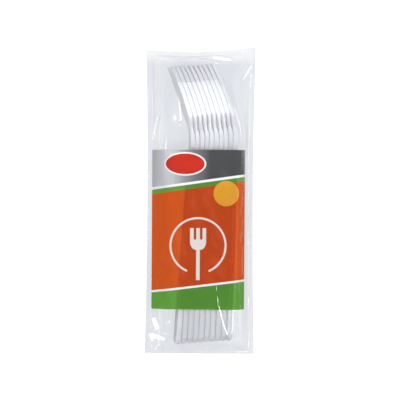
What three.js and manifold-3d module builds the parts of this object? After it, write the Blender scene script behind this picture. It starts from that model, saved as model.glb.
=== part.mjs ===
// A clear film bag that holds a nested stack of ten plastic forks lying on their edges.
// Millimetres, +Z up. The pack lies on its back: +Y runs from the handle ends to the tine tips,
// +X runs across the stack, and the printed front of the bag faces +Z.
// The origin is under the middle of the bag, on the plane that it rests on.
import * as THREE from "three";
import { mergeVertices } from "three/addons/utils/BufferGeometryUtils.js";
import Module from "manifold-3d";

const wasm = await Module();
wasm.setup();

const degrees = Math.PI / 180;

// Bag: its flat size, its welded edges and the film
const bagWidth = 65;
const topRoom = 10.5; // from the highest tine tips to the bag's top corner
const bottomRoom = 5.5; // from the lowest handle end to the bag's bottom edge
const bagWaist = 1.2; // each side draws in by this much half way along
const topDip = 2.2; // the top edge sags by this much between its corners
const topCornerDrop = 2; // the left top corner sits this much lower than the right one
const sideSeal = 3;
const endSeal = 1.8;
const filmWall = 0.3;
const mouthGap = 0.3; // between the two lips of the top edge
const bottomSealHeight = 3;
const topSealHeight = 7;
const filmGap = 0.35; // between the film and what it lies on
const filmSpan = 42; // the film bridges this length from the handles up to the heads
const backFlatShare = 0.55; // the back film lies flat over this share of each side slope

// Fork: the runs of its side view, from the handle's end to the tine tips
const handleLength = 113;
const neckLength = 6;
const palmLength = 9;
const tineLength = 31;
const tipLength = 9;
const neckTurn = 2 * degrees; // towards the fork's back
const palmTurn = -18 * degrees; // towards its front
const tineTurn = -10 * degrees;
const tipTurn = -5 * degrees;
const handleDepth = 3.15;
const neckDepth = 2.55;
const headDepth = 2.4;
const tipDepth = 1.3;
const endRound = 1.3; // the back corner of the handle's end

// Fork: its outline seen from the front
const handleWidth = 11;
const neckWidth = 6.6;
const headWidth = 19;
const headStart = 135.5; // where the head reaches its full width
const shoulderLength = 8.5; // length of the flare from the neck to the head
const tineRoot = 143; // the bottom of the gaps between the tines
const tineCount = 4;
const tineRootWidth = 3.3;
const tineTipWidth = 1.3;
const tipSpread = 15.6; // across the outer tines at their tips
const recessDepth = 0.9;
const recessBorder = 1.6;
const recessLength = 92;

// Stack: how the forks lie in the bag
const forkCount = 10;
const stackX = 1.9; // middle of the handle ends
const endPitch = 3.36;
const neckPitch = 2.81;
const stackStep = 0.25; // each fork lies this much further up than the one on its left
const stackYaw = 2.74 * degrees; // the necks lie to the right of the handle ends
const forkLean = 9.5 * degrees; // the upper edges lie to the right of the lower ones

// Print: ink fields on the bag's front
const inkLift = 0.1;
const inkDepth = 0.15;
const inkGap = 0.15; // bare film between two fields
const panelLeftRoom = 3.7; // from the bag's left edge to the panel
const panelRightRoom = 5.9;
const panelFootRoom = 26.5; // from the bag's bottom edge to the panel
const panelLength = 95;
const headerLeftLength = 22.4; // the header is deeper on the left, so its lower edge slants
const headerRightLength = 14.4;
const whiteBand = 1.5;
const greenBand = 2.6;
const footerLeftLength = 11; // the footer is deeper on the right
const footerRightLength = 18;
const footerLine = 1.3;
const ovalWidth = 25;
const ovalHeight = 14;
const ovalRim = 0.9;
const ovalLeftRoom = 7.3; // from the panel's left edge to the oval
const ovalTopRoom = 1.4;
const discRadius = 7.6;
const discRightRoom = 3.5;
const discTopRoom = 18.3;
const ringRadius = 17;
const ringWidth = 1.2;
const ringFootRoom = 21; // from the panel's foot to the ring
const ringOpening = 46 * degrees;
const markLength = 31;
const markDrop = 5; // the mark stands this much lower than the ring
const markHead = 9.6;
const markStem = 2.2;
const markNeck = 0.08; // height of the neck above the mark's middle, as a share of its length
const markTine = 0.22; // length of its tines, as a share of its length

const lerp = THREE.MathUtils.lerp;

// Turns a closed geometry into a solid for cutting and joining.
function solidOf(geometry) {
  const bare = geometry.clone();
  bare.deleteAttribute("normal");
  bare.deleteAttribute("uv");
  const merged = mergeVertices(bare, 1e-4);
  return new wasm.Manifold(
    new wasm.Mesh({
      numProp: 3,
      vertProperties: new Float32Array(merged.attributes.position.array),
      triVerts: new Uint32Array(merged.index.array),
    }),
  );
}

function geometryOf(solid) {
  const mesh = solid.getMesh();
  const geometry = new THREE.BufferGeometry();
  geometry.setAttribute("position", new THREE.BufferAttribute(mesh.vertProperties, 3));
  geometry.setIndex(new THREE.BufferAttribute(mesh.triVerts, 1));
  geometry.computeVertexNormals();
  return geometry;
}

function extruded(shape, depth, curveSegments) {
  return new THREE.ExtrudeGeometry(shape, { depth, bevelEnabled: false, curveSegments });
}

// Side view of the fork

// The stations of the fork's middle line in its side view: place, heading from +Y towards +X, depth.
function middleLine() {
  const runs = [
    { length: handleLength, turn: 0, steps: 1, depth: neckDepth },
    { length: neckLength, turn: neckTurn, steps: 2, depth: lerp(neckDepth, headDepth, 0.5) },
    { length: palmLength, turn: palmTurn, steps: 6, depth: headDepth },
    { length: tineLength, turn: tineTurn, steps: 4, depth: headDepth },
    { length: tipLength, turn: tipTurn, steps: 2, depth: tipDepth },
  ];
  const stations = [{ x: 0, y: 0, heading: 0, depth: handleDepth }];
  for (const run of runs) {
    const from = stations.at(-1);
    let { x, y } = from;
    for (let step = 1; step <= run.steps; step++) {
      const stretch = run.length / run.steps;
      const heading = from.heading + (run.turn * (step - 0.5)) / run.steps;
      x += stretch * Math.sin(heading);
      y += stretch * Math.cos(heading);
      stations.push({
        x,
        y,
        heading: from.heading + (run.turn * step) / run.steps,
        depth: lerp(from.depth, run.depth, step / run.steps),
      });
    }
  }
  return stations;
}

const line = middleLine();
const forkLength = line.at(-1).y;
const stackRise = (forkCount - 1) * stackStep; // from the first fork to the last
const bagLength = bottomRoom + forkLength + stackRise + topRoom;
const halfLength = bagLength / 2;
const stackEnd = bottomRoom - halfLength; // the first fork's handle end

// How far the fork's middle line lies behind its handle at a place along it.
function lineOffset(y) {
  const next = line.findIndex((station) => station.y >= y);
  if (next === 0) return 0;
  if (next < 0) return line.at(-1).x;
  const [a, b] = [line[next - 1], line[next]];
  return lerp(a.x, b.x, (y - a.y) / (b.y - a.y));
}

function sideShape() {
  const face = (station, side) =>
    new THREE.Vector2(
      station.x + (side * Math.cos(station.heading) * station.depth) / 2,
      station.y - (side * Math.sin(station.heading) * station.depth) / 2,
    );
  const back = line.map((station) => face(station, 1));
  const front = line.map((station) => face(station, -1));
  const shape = new THREE.Shape();
  shape.moveTo(front[0].x, front[0].y);
  shape.lineTo(back[0].x - endRound, back[0].y);
  shape.quadraticCurveTo(back[0].x, back[0].y, back[0].x, back[0].y + endRound);
  for (const point of back.slice(1)) shape.lineTo(point.x, point.y);
  for (const point of front.slice(1).reverse()) shape.lineTo(point.x, point.y);
  shape.closePath();
  return shape;
}

// Front view of the fork

function handleEdge(y) {
  return lerp(handleWidth, neckWidth, y / (headStart - shoulderLength)) / 2;
}

function headEdge(y) {
  const tineShare = THREE.MathUtils.clamp((y - tineRoot) / (forkLength - tineRoot), 0, 1);
  return lerp(headWidth, tipSpread, tineShare) / 2;
}

// The outline in a front view: across is the shape's x and along is its y.
function frontShape() {
  const half = headWidth / 2;
  const neckHalf = neckWidth / 2;
  const neckEnd = headStart - shoulderLength;
  const endRadius = handleWidth / 2;
  const tinePitch = (headWidth - tineRootWidth) / (tineCount - 1);
  const tipPitch = (tipSpread - tineTipWidth) / (tineCount - 1);
  const gap = tinePitch - tineRootWidth;
  const straightFrom = tineRoot + gap / 2;
  const tipRadius = tineTipWidth / 2;
  const flare = shoulderLength / 2;
  const shape = new THREE.Shape();
  shape.moveTo(-endRadius, endRadius);
  shape.absarc(0, endRadius, endRadius, Math.PI, 2 * Math.PI);
  shape.lineTo(neckHalf, neckEnd);
  shape.bezierCurveTo(neckHalf, neckEnd + flare, half, headStart - flare, half, headStart);
  for (let tine = tineCount - 1; tine >= 0; tine--) {
    const root = -half + tineRootWidth / 2 + tine * tinePitch;
    const tip = -tipSpread / 2 + tipRadius + tine * tipPitch;
    shape.lineTo(root + tineRootWidth / 2, straightFrom);
    shape.absarc(tip, forkLength - tipRadius, tipRadius, 0, Math.PI);
    shape.lineTo(root - tineRootWidth / 2, straightFrom);
    if (tine > 0) shape.absarc(root - tinePitch / 2, straightFrom, gap / 2, 0, Math.PI, true);
  }
  shape.lineTo(-half, headStart);
  shape.bezierCurveTo(-half, headStart - flare, -neckHalf, neckEnd + flare, -neckHalf, neckEnd);
  shape.closePath();
  return shape;
}

// The shallow panel sunk into the front of the handle.
function recessShape() {
  const radius = handleWidth / 2 - recessBorder;
  const top = recessBorder + recessLength;
  const topHalf = handleEdge(top) - recessBorder;
  const shape = new THREE.Shape();
  shape.moveTo(-radius, recessBorder + radius);
  shape.absarc(0, recessBorder + radius, radius, Math.PI, 2 * Math.PI);
  shape.lineTo(topHalf, top - topHalf);
  shape.absarc(0, top - topHalf, topHalf, 0, Math.PI);
  shape.closePath();
  return shape;
}

// A front view pushed through the fork's depth, from one x to another.
function throughFork(shape, fromX, toX, curveSegments) {
  return extruded(shape, toX - fromX, curveSegments).rotateY(Math.PI / 2).translate(fromX, 0, 0);
}

function forkGeometry() {
  const reach = forkLength;
  const side = extruded(sideShape(), 2 * headWidth, 3).translate(0, 0, -headWidth);
  const outline = throughFork(frontShape(), -reach, reach, 3);
  const recess = throughFork(recessShape(), -reach, recessDepth - handleDepth / 2, 2);
  return geometryOf(solidOf(side).intersect(solidOf(outline)).subtract(solidOf(recess)));
}

// How the forks lie

// The stack rests on the handles' ends and the heads' edges, so the heads raise it.
const restAngle = Math.atan((headWidth - handleWidth) / 2 / (headStart - handleWidth / 2));
const yawStep = (endPitch - neckPitch) / (headStart - shoulderLength);
const middleFork = (forkCount - 1) / 2;
const forkX = (index) => stackX + (index - middleFork) * endPitch;
const forkYaw = (index) => stackYaw + (middleFork - index) * yawStep;
const leanReach = (headWidth / 2) * Math.sin(forkLean);
const stackFloor = filmWall + filmGap;
const leanDrop = (handleDepth / 2) * Math.sin(forkLean);
const endCentre = stackFloor + leanDrop + handleWidth / 2 - (handleWidth / 2) * Math.tan(restAngle);

// The middle of one fork across the stack, at a place along the pack.
function forkMiddle(index, y) {
  const along = y - stackEnd - index * stackStep;
  return forkX(index) + along * Math.tan(forkYaw(index)) + lineOffset(along);
}

function forkStack() {
  const geometry = forkGeometry();
  const plastic = new THREE.MeshStandardMaterial({ color: 0xf1f0f2, roughness: 0.3, metalness: 0 });
  const stack = new THREE.Group();
  stack.position.set(0, stackEnd, endCentre);
  stack.rotation.x = restAngle;
  for (let index = 0; index < forkCount; index++) {
    const fork = new THREE.Mesh(geometry, plastic);
    fork.name = `fork_${String(index + 1).padStart(2, "0")}`;
    fork.rotation.order = "ZYX";
    fork.rotation.set(0, forkLean, -forkYaw(index));
    fork.position.set(forkX(index), index * stackStep, 0);
    stack.add(fork);
  }
  return stack;
}

// Film: a lattice of places across and along the bag, with the height of its front and back

const tipsY = stackEnd + stackRise + forkLength + tipDepth / 2;
const headY = stackEnd + headStart;
const spanStart = headY - filmSpan;
const topOf = (halfWidth, along) =>
  endCentre + along * Math.tan(restAngle) + halfWidth + leanDrop + filmGap;
const handleTop = topOf(handleWidth / 2, handleWidth / 2);
const spanTop = topOf(handleEdge(spanStart - stackEnd), spanStart - stackEnd);
// The lean lifts the heads, because they reach out to the front.
const headTop = (y) =>
  topOf(headEdge(y - stackEnd), y - stackEnd) - lineOffset(y - stackEnd) * Math.sin(forkLean);
const stackSide = handleDepth / 2 + filmGap;
const firstSide = (y) => forkMiddle(0, y) - stackSide;

function topEdge(across) {
  return halfLength - topDip * (1 - across ** 2) - (topCornerDrop * (1 - across)) / 2;
}

// Height of the front film over the stack, at a place along the pack.
function ridge(y) {
  const handleShare = THREE.MathUtils.clamp((y - stackEnd) / (spanStart - stackEnd), 0, 1);
  const rise = THREE.MathUtils.smoothstep(y, spanStart, headY);
  const overHeads = headTop(THREE.MathUtils.clamp(y, headY, tipsY));
  return lerp(lerp(handleTop, spanTop, handleShare), overHeads, rise);
}

function sealHeight(y) {
  return lerp(bottomSealHeight, topSealHeight, THREE.MathUtils.smoothstep(y, -halfLength, halfLength));
}

// Rises steeply from the seal and eases off on top of the stack.
const drape = (share) => 1 - (1 - share) ** 1.7;

// Columns of the lattice: a name for the stretch that they divide, and the share of it.
const slopeShares = [0.2, 0.45, 0.72];
const columns = [
  { zone: "edge", side: -1 },
  { zone: "seal", side: -1 },
  ...slopeShares.map((share) => ({ zone: "slope", side: -1, share })),
  ...[0, 1 / 3, 2 / 3, 1].map((share) => ({ zone: "top", share })),
  ...slopeShares.toReversed().map((share) => ({ zone: "slope", side: 1, share })),
  { zone: "seal", side: 1 },
  { zone: "edge", side: 1 },
];

// Rows of the lattice, each with its place along the pack and its share of the rise at the ends.
const endRun = handleWidth / 2;
const handleRows = [0, 0.25, 0.5, 0.75].map((share) => lerp(stackEnd + endRun, spanStart, share));
const spanRows = [0, 0.25, 0.5, 0.75, 1].map((share) => lerp(spanStart, headY, share));
const headRows = [0.33, 0.66, 1].map((share) => lerp(headY, tipsY, share));
const bottomSeal = -halfLength + endSeal;
const rows = [
  { at: () => -halfLength, rise: 0 },
  { at: () => bottomSeal, rise: 0 },
  ...[0.35, 0.7].map((share) => ({ at: () => lerp(bottomSeal, stackEnd + endRun, share), rise: share })),
  ...[...handleRows, ...spanRows, ...headRows].map((y) => ({ at: () => y, rise: 1 })),
  ...[0.7, 0.35].map((share) => ({
    at: (across) => lerp(topEdge(across) - endSeal, tipsY, share),
    rise: share,
  })),
  { at: (across) => topEdge(across) - endSeal, rise: 0 },
  { at: topEdge, rise: 0 },
];

function latticePoint(column, row) {
  const rough = row.at(0);
  const waist = bagWaist * Math.cos((Math.PI * rough) / bagLength);
  const edge = bagWidth / 2 - waist;
  const seal = edge - sideSeal;
  // On the left the film runs straight from the handles to the heads, past the hollow at the necks.
  const tautShare = THREE.MathUtils.clamp((rough - stackEnd) / (tipsY - stackEnd), 0, 1);
  const taut = lerp(firstSide(stackEnd), firstSide(tipsY), tautShare);
  const left = Math.min(firstSide(rough), taut);
  const right = forkMiddle(forkCount - 1, rough) + stackSide + leanReach;
  const shoulder = column.side < 0 ? left : right;
  const x = {
    edge: column.side * edge,
    seal: column.side * seal,
    slope: lerp(column.side * seal, shoulder, column.share),
    top: lerp(left, right, column.share),
  }[column.zone];
  const y = row.at(x / edge);
  const sideShare = { edge: 0, seal: 0, slope: column.share, top: 1 }[column.zone];
  const low = sealHeight(rough);
  const frontRise = drape(sideShare) * drape(row.rise);
  const fall = (share) => Math.min(1, share / (1 - backFlatShare));
  const backFall = fall(sideShare) * fall(row.rise);
  return {
    x,
    y,
    front: low + (ridge(rough) - low) * frontRise,
    back: low + (filmWall - low) * drape(backFall),
  };
}

const lattice = rows.map((row) => columns.map((column) => latticePoint(column, row)));

// A closed solid between two surfaces over part of the lattice.
function latticeSolid(grid, upper, lower) {
  const wide = grid[0].length;
  const points = [upper, lower].flatMap((height) =>
    grid.flat().map((point) => [point.x, point.y, height(point)]),
  );
  const under = wide * grid.length;
  const triangles = [];
  const quad = (a, b, c, d) => triangles.push(a, b, c, a, c, d);
  for (let row = 0; row + 1 < grid.length; row++)
    for (let column = 0; column + 1 < wide; column++) {
      const a = row * wide + column;
      quad(a, a + 1, a + wide + 1, a + wide);
      // The lower face uses the same diagonal, turned over.
      triangles.push(under + a, under + a + wide + 1, under + a + 1);
      triangles.push(under + a, under + a + wide, under + a + wide + 1);
    }
  const rim = [
    ...Array.from({ length: wide }, (_, column) => column),
    ...Array.from({ length: grid.length - 1 }, (_, row) => (row + 2) * wide - 1),
    ...Array.from({ length: wide - 1 }, (_, column) => under - 2 - column),
    ...Array.from({ length: grid.length - 2 }, (_, row) => under - 2 * wide - row * wide),
  ];
  rim.forEach((a, index) => {
    const b = rim[(index + 1) % rim.length];
    quad(under + a, under + b, b, a);
  });
  const geometry = new THREE.BufferGeometry();
  geometry.setAttribute("position", new THREE.BufferAttribute(new Float32Array(points.flat()), 3));
  geometry.setIndex(triangles);
  return solidOf(geometry);
}

// The bag is the pillow of its outer faces less its inside, which opens at the lips of the top edge.
function filmBag() {
  const half = mouthGap / 2;
  const outer = latticeSolid(
    lattice,
    (point) => point.front + filmWall + half,
    (point) => point.back - filmWall,
  );
  const pastMouth = lattice.at(-1).map((point) => ({ ...point, y: point.y + endSeal }));
  const insideRows = [...lattice.slice(1), pastMouth];
  const inside = latticeSolid(
    insideRows.map((row) => row.slice(1, -1)),
    (point) => point.front + half,
    (point) => point.back,
  );
  const film = new THREE.MeshStandardMaterial({
    color: 0xe6eaee,
    roughness: 0.12,
    metalness: 0,
    transparent: true,
    opacity: 0.3,
  });
  const bag = new THREE.Mesh(geometryOf(outer.subtract(inside)), film);
  bag.name = "film_bag";
  return bag;
}

// Print

const panelLeft = panelLeftRoom - bagWidth / 2;
const panelRight = bagWidth / 2 - panelRightRoom;
const panelBottom = panelFootRoom - halfLength;
const panelTop = panelBottom + panelLength;

// A field from side to side of the panel, between two slanting edges.
function slantField(upperLeft, upperRight, lowerLeft, lowerRight) {
  const inset = inkGap / 2;
  return new THREE.Shape([
    new THREE.Vector2(panelLeft, lowerLeft + inset),
    new THREE.Vector2(panelRight, lowerRight + inset),
    new THREE.Vector2(panelRight, upperRight - inset),
    new THREE.Vector2(panelLeft, upperLeft - inset),
  ]);
}

function ovalMark(x, y, width, height) {
  return (grow) => new THREE.Shape().absellipse(x, y, width / 2 + grow, height / 2 + grow, 0, 2 * Math.PI);
}

// A ring that is open at its lowest place, where the fork's stem passes.
function ringMark(x, y, radius, width) {
  return (grow) => {
    const from = ringOpening / 2 - Math.PI / 2 - grow / radius;
    const to = Math.PI - from;
    return new THREE.Shape()
      .absarc(x, y, radius + grow, from, to)
      .absarc(x, y, radius - width - grow, to, from, true)
      .closePath();
  };
}

// A small upright fork, stouter than the real one.
function forkMark(x, y, length) {
  return (grow) => {
    const head = markHead / 2 + grow;
    const stem = markStem / 2 + grow;
    const foot = y - length / 2 - grow;
    const tip = y + length / 2 + grow;
    const neck = y + length * markNeck;
    const root = tip - length * markTine;
    const tinePitch = (markHead - markStem) / 2;
    const shape = new THREE.Shape();
    shape.moveTo(x - stem, foot);
    shape.lineTo(x + stem, foot);
    shape.lineTo(x + stem, neck);
    shape.quadraticCurveTo(x + head, neck, x + head, root - length * markTine * 0.2);
    for (const tine of [1, 0, -1]) {
      shape.lineTo(x + tine * tinePitch + stem, tip);
      shape.lineTo(x + tine * tinePitch - stem, tip);
      if (tine < 0) continue;
      shape.lineTo(x + tine * tinePitch - stem, root);
      shape.lineTo(x + (tine - 1) * tinePitch + stem, root);
    }
    shape.lineTo(x - head, root - length * markTine * 0.2);
    shape.quadraticCurveTo(x - head, neck, x - stem, neck);
    shape.closePath();
    return shape;
  };
}

// The fields lie side by side, and each mark cuts what was printed before it.
function printedFields() {
  const headerLeft = panelTop - headerLeftLength;
  const headerRight = panelTop - headerRightLength;
  const whiteLeft = headerLeft - whiteBand;
  const whiteRight = headerRight - whiteBand;
  const greenLeft = whiteLeft - greenBand;
  const greenRight = whiteRight - greenBand;
  const footerLeft = panelBottom + footerLeftLength;
  const footerRight = panelBottom + footerRightLength;
  const lineLeft = footerLeft - footerLine;
  const lineRight = footerRight - footerLine;
  const ovalX = panelLeft + ovalLeftRoom + ovalWidth / 2;
  const ovalY = panelTop - ovalTopRoom - ovalHeight / 2;
  const discX = panelRight - discRightRoom - discRadius;
  const discY = panelTop - discTopRoom - discRadius;
  const ringX = (panelLeft + panelRight) / 2;
  const ringY = panelBottom + ringFootRoom + ringRadius;
  const innerWidth = ovalWidth - 2 * ovalRim;
  const innerHeight = ovalHeight - 2 * ovalRim;
  const fields = [
    ["print_header", 0x5b5d61, slantField(panelTop, panelTop, headerLeft, headerRight)],
    ["print_band_white", 0xf0f0f0, slantField(headerLeft, headerRight, whiteLeft, whiteRight)],
    ["print_band_green", 0x4fa53c, slantField(whiteLeft, whiteRight, greenLeft, greenRight)],
    ["print_panel", 0xd2551f, slantField(greenLeft, greenRight, footerLeft, footerRight)],
    ["print_footer_line", 0xf0f0f0, slantField(footerLeft, footerRight, lineLeft, lineRight)],
    ["print_footer", 0x4f9f36, slantField(lineLeft, lineRight, panelBottom, panelBottom)],
  ];
  const marks = [
    ["print_oval_rim", 0xf0f0f0, ovalMark(ovalX, ovalY, ovalWidth, ovalHeight)],
    ["print_oval", 0xc8320f, ovalMark(ovalX, ovalY, innerWidth, innerHeight)],
    ["print_disc", 0xd89a1e, ovalMark(discX, discY, 2 * discRadius, 2 * discRadius)],
    ["print_ring", 0xf3ece0, ringMark(ringX, ringY, ringRadius, ringWidth)],
    ["print_fork_mark", 0xf3ece0, forkMark(ringX, ringY - markDrop, markLength)],
  ];
  const ink = latticeSolid(
    lattice,
    (point) => point.front + filmWall + mouthGap / 2 + inkLift + inkDepth,
    (point) => point.front + filmWall + mouthGap / 2 + inkLift,
  );
  const cutter = (shape) => solidOf(extruded(shape, 2 * headTop(tipsY), 6));
  const printed = (name, color, shape, over) => {
    let solid = ink.intersect(cutter(shape));
    for (const [, , outline] of over) solid = solid.subtract(cutter(outline(inkGap)));
    const material = new THREE.MeshStandardMaterial({ color, roughness: 0.25, metalness: 0 });
    const mesh = new THREE.Mesh(geometryOf(solid), material);
    mesh.name = name;
    return mesh;
  };
  return [
    ...fields.map(([name, color, shape]) => printed(name, color, shape, marks)),
    ...marks.map(([name, color, outline], index) => {
      const later = marks.slice(index + 1);
      return printed(name, color, outline(0), later);
    }),
  ];
}

const pack = new THREE.Group();
pack.add(filmBag(), forkStack(), ...printedFields());

export default pack;
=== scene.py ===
import bpy
import bmesh
import math
import numpy as np
from mathutils import Matrix, Vector
from mathutils.bvhtree import BVHTree


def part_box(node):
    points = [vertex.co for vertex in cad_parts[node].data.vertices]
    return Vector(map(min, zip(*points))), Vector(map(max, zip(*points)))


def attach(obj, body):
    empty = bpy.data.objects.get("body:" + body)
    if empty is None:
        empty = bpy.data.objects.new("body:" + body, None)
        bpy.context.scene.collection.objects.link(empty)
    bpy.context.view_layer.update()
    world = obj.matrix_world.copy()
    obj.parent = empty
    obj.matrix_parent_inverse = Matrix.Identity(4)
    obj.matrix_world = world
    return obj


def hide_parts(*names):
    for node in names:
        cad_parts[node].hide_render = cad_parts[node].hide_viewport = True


# A clear film pouch over ten nested white forks, with a plain printed label.
# Sizes are millimetres, and metres on the stage. Every mesh is made in metres in the CAD frame.

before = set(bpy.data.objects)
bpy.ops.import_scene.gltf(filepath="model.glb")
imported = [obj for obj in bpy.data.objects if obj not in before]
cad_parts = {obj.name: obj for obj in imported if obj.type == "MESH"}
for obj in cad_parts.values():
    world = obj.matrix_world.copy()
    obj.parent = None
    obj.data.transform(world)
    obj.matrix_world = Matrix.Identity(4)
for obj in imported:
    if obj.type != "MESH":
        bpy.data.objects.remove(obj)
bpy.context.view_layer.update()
mm = 0.001
bagLow, bagHigh = (np.array(corner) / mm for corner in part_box("film_bag"))
halfWidth = bagHigh[0]
halfLength = bagHigh[1]
print("frame loaded, bag", bagHigh - bagLow)


def smooth(value, start, end):
    share = np.clip((value - start) / (end - start), 0, 1)
    return share * share * (3 - 2 * share)


def between(value, start, full, falling, end):
    return smooth(value, start, full) * (1 - smooth(value, falling, end))


def dropOn(surface, x, y):
    # where a line straight down meets a surface, and the way the surface faces there
    above = Vector((x, y, 100)) * mm
    return surface.ray_cast(above, Vector((0, 0, -1)))[:2]


def addObject(name, data):
    added = bpy.data.objects.new(name, data)
    bpy.context.scene.collection.objects.link(added)
    return added


# materials

def newMaterial(name):
    material = bpy.data.materials.new(name)
    material.use_nodes = True
    nodes = material.node_tree.nodes
    nodes.clear()
    return material, nodes, material.node_tree.links.new


def addNode(nodes, kind, **values):
    node = nodes.new("ShaderNode" + kind)
    for key, value in values.items():
        if key in node.inputs:
            node.inputs[key].default_value = value
        else:
            setattr(node, key, value)
    return node


def addRange(nodes, join, value, source=(0, 1), result=(0, 1), **values):
    limits = zip(("From Min", "From Max", "To Min", "To Max"), source + result)
    spread = addNode(nodes, "MapRange", **dict(limits), **values)
    join(value, spread.inputs["Value"])
    return spread.outputs["Result"]


def addNoise(nodes, join, place, scale, detail):
    noise = addNode(nodes, "TexNoise", Scale=scale, Detail=detail)
    join(place, noise.inputs["Vector"])
    return noise.outputs["Fac"]


def addBump(nodes, join, height, shader, **values):
    bump = addNode(nodes, "Bump", **values)
    join(height, bump.inputs["Height"])
    join(bump.outputs["Normal"], shader.inputs["Normal"])


def stretched(nodes, join, place, scale):
    mapping = addNode(nodes, "Mapping", Scale=scale)
    join(place, mapping.inputs["Vector"])
    return mapping.outputs[0]


def placeAlong(nodes, join, place, axis):
    split = addNode(nodes, "SeparateXYZ")
    join(place, split.inputs[0])
    return split.outputs[axis]


def mixColors(nodes, join, share, first, second):
    mixed = addNode(nodes, "MixRGB", Color1=first, Color2=second)
    join(share, mixed.inputs["Fac"])
    return mixed.outputs["Color"]


def mixShaders(nodes, join, share, first, second):
    mixed = addNode(nodes, "MixShader")
    for source, target in zip((share, first.outputs[0], second.outputs[0]), mixed.inputs):
        join(source, target)
    return mixed


def schlick(nodes, join, straight):
    # share of light that the surface mirrors: a little straight on, all of it at a glance
    facing = addNode(nodes, "LayerWeight", Blend=0.5)
    steep = addNode(nodes, "Math", operation="POWER")
    steep.inputs[1].default_value = 5.0
    join(facing.outputs["Facing"], steep.inputs[0])
    return addRange(nodes, join, steep.outputs[0], result=(straight, 1))


filmLook = {
    # what the front layer lets through, from its cloudy streaks to its clear ones
    "front": ((0.915, 0.92, 0.933, 1), (0.972, 0.976, 0.984, 1)),
    "streakScale": 80,
    "streakStretch": (1, 0.3, 1),
    "streakShare": (0.3, 0.7),
    # painted shade: the back layer, which lies on the table, is painted greyer than the same film in
    # front, and painted clear again at the top end, where it lifts off
    "back": ((0.835, 0.848, 0.87, 1), (0.97, 0.973, 0.98, 1)),
    "shadeFadesAt": (80 * mm, 87 * mm),  # between these places
    "haze": (0.02, 0.06),
    "hazeColor": (0.86, 0.88, 0.92, 1),
    "hazeScale": 90,
    "mirror": 0.075,
    "rough": 0.09,
    "rippleScale": 520,
    "ripple": {"Strength": 0.12, "Distance": 0.4 * mm},
}


def streakColor(nodes, join, place):
    lengthened = stretched(nodes, join, place, filmLook["streakStretch"])
    cloud = addNoise(nodes, join, lengthened, filmLook["streakScale"], 2.0)
    share = addRange(nodes, join, cloud, source=filmLook["streakShare"])
    return mixColors(nodes, join, share, *filmLook["front"])


def paintedShadeBackColor(nodes, join, place):
    # painted shade on the back layer, fading out between these places at the top end
    y = placeAlong(nodes, join, place, "Y")
    share = addRange(nodes, join, y, source=filmLook["shadeFadesAt"], interpolation_type="SMOOTHSTEP")
    return mixColors(nodes, join, share, *filmLook["back"])


def filmMaterial(name, clearColor):
    # the colour of what it lets through comes from the nodes that clearColor adds
    material, nodes, join = newMaterial(name)
    out = addNode(nodes, "OutputMaterial")
    clear = addNode(nodes, "BsdfTransparent")
    haze = addNode(nodes, "BsdfDiffuse", Color=filmLook["hazeColor"])
    gloss = addNode(nodes, "BsdfGlossy", Roughness=filmLook["rough"])
    place = addNode(nodes, "TexCoord").outputs["Object"]
    join(clearColor(nodes, join, place), clear.inputs["Color"])
    cloud = addNoise(nodes, join, place, filmLook["hazeScale"], 3.0)
    hazeShare = addRange(nodes, join, cloud, result=filmLook["haze"])
    ripple = addNoise(nodes, join, place, filmLook["rippleScale"], 2.0)
    addBump(nodes, join, ripple, gloss, **filmLook["ripple"])
    milky = mixShaders(nodes, join, hazeShare, clear, haze)
    mirrored = schlick(nodes, join, filmLook["mirror"])
    mixed = mixShaders(nodes, join, mirrored, milky, gloss)
    join(mixed.outputs[0], out.inputs["Surface"])
    return material


# painted sheen on the grey header print: a reflection painted into its colour
paintedSheen = {
    "sides": (-28.8 * mm, 10 * mm),
    # share of the way from the left to the right side, brightness
    "stops": ((0.0, 0.38), (0.22, 0.6), (0.36, 0.56), (0.5, 0.36), (0.66, 0.2), (0.95, 0.06)),
    "tone": (1, 1.02, 1.05),
    "streaks": 0.1,
    "streakScale": 260,
    "streakStretch": (1, 0.04, 0),
}


def paintedSheenColor(nodes, join, place):
    # painted sheen: the grey print is painted light silver on its left, standing in for a reflection,
    # and fades to plain grey across the label, with fine upright streaks
    x = placeAlong(nodes, join, place, "X")
    across = addRange(nodes, join, x, source=paintedSheen["sides"])
    upright = stretched(nodes, join, place, paintedSheen["streakStretch"])
    streaks = addNoise(nodes, join, upright, paintedSheen["streakScale"], 3.0)
    shift = addNode(nodes, "Math", operation="MULTIPLY_ADD")
    shift.inputs[1].default_value = paintedSheen["streaks"]
    join(streaks, shift.inputs[0])
    join(across, shift.inputs[2])
    ramp = addNode(nodes, "ValToRGB")
    stops = ramp.color_ramp.elements
    while len(stops) < len(paintedSheen["stops"]):
        stops.new(0.5)
    for stop, (share, bright) in zip(stops, paintedSheen["stops"]):
        stop.position = share
        stop.color = tuple(bright * channel for channel in paintedSheen["tone"]) + (1,)
    join(shift.outputs[0], ramp.inputs["Fac"])
    return ramp.outputs["Color"]


inkLook = {
    "tint": 0.95,  # how strongly ink colours the light that it lets through
    "body": {"Roughness": 0.4, "Specular IOR Level": 0.25, "Coat Weight": 0.15, "Coat Roughness": 0.08},
    "grainScale": 900,
    "grainShades": (0.93, 1.06),  # darkest and lightest
    "grainCover": 0.04,  # how far the grain changes the cover
}


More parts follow.
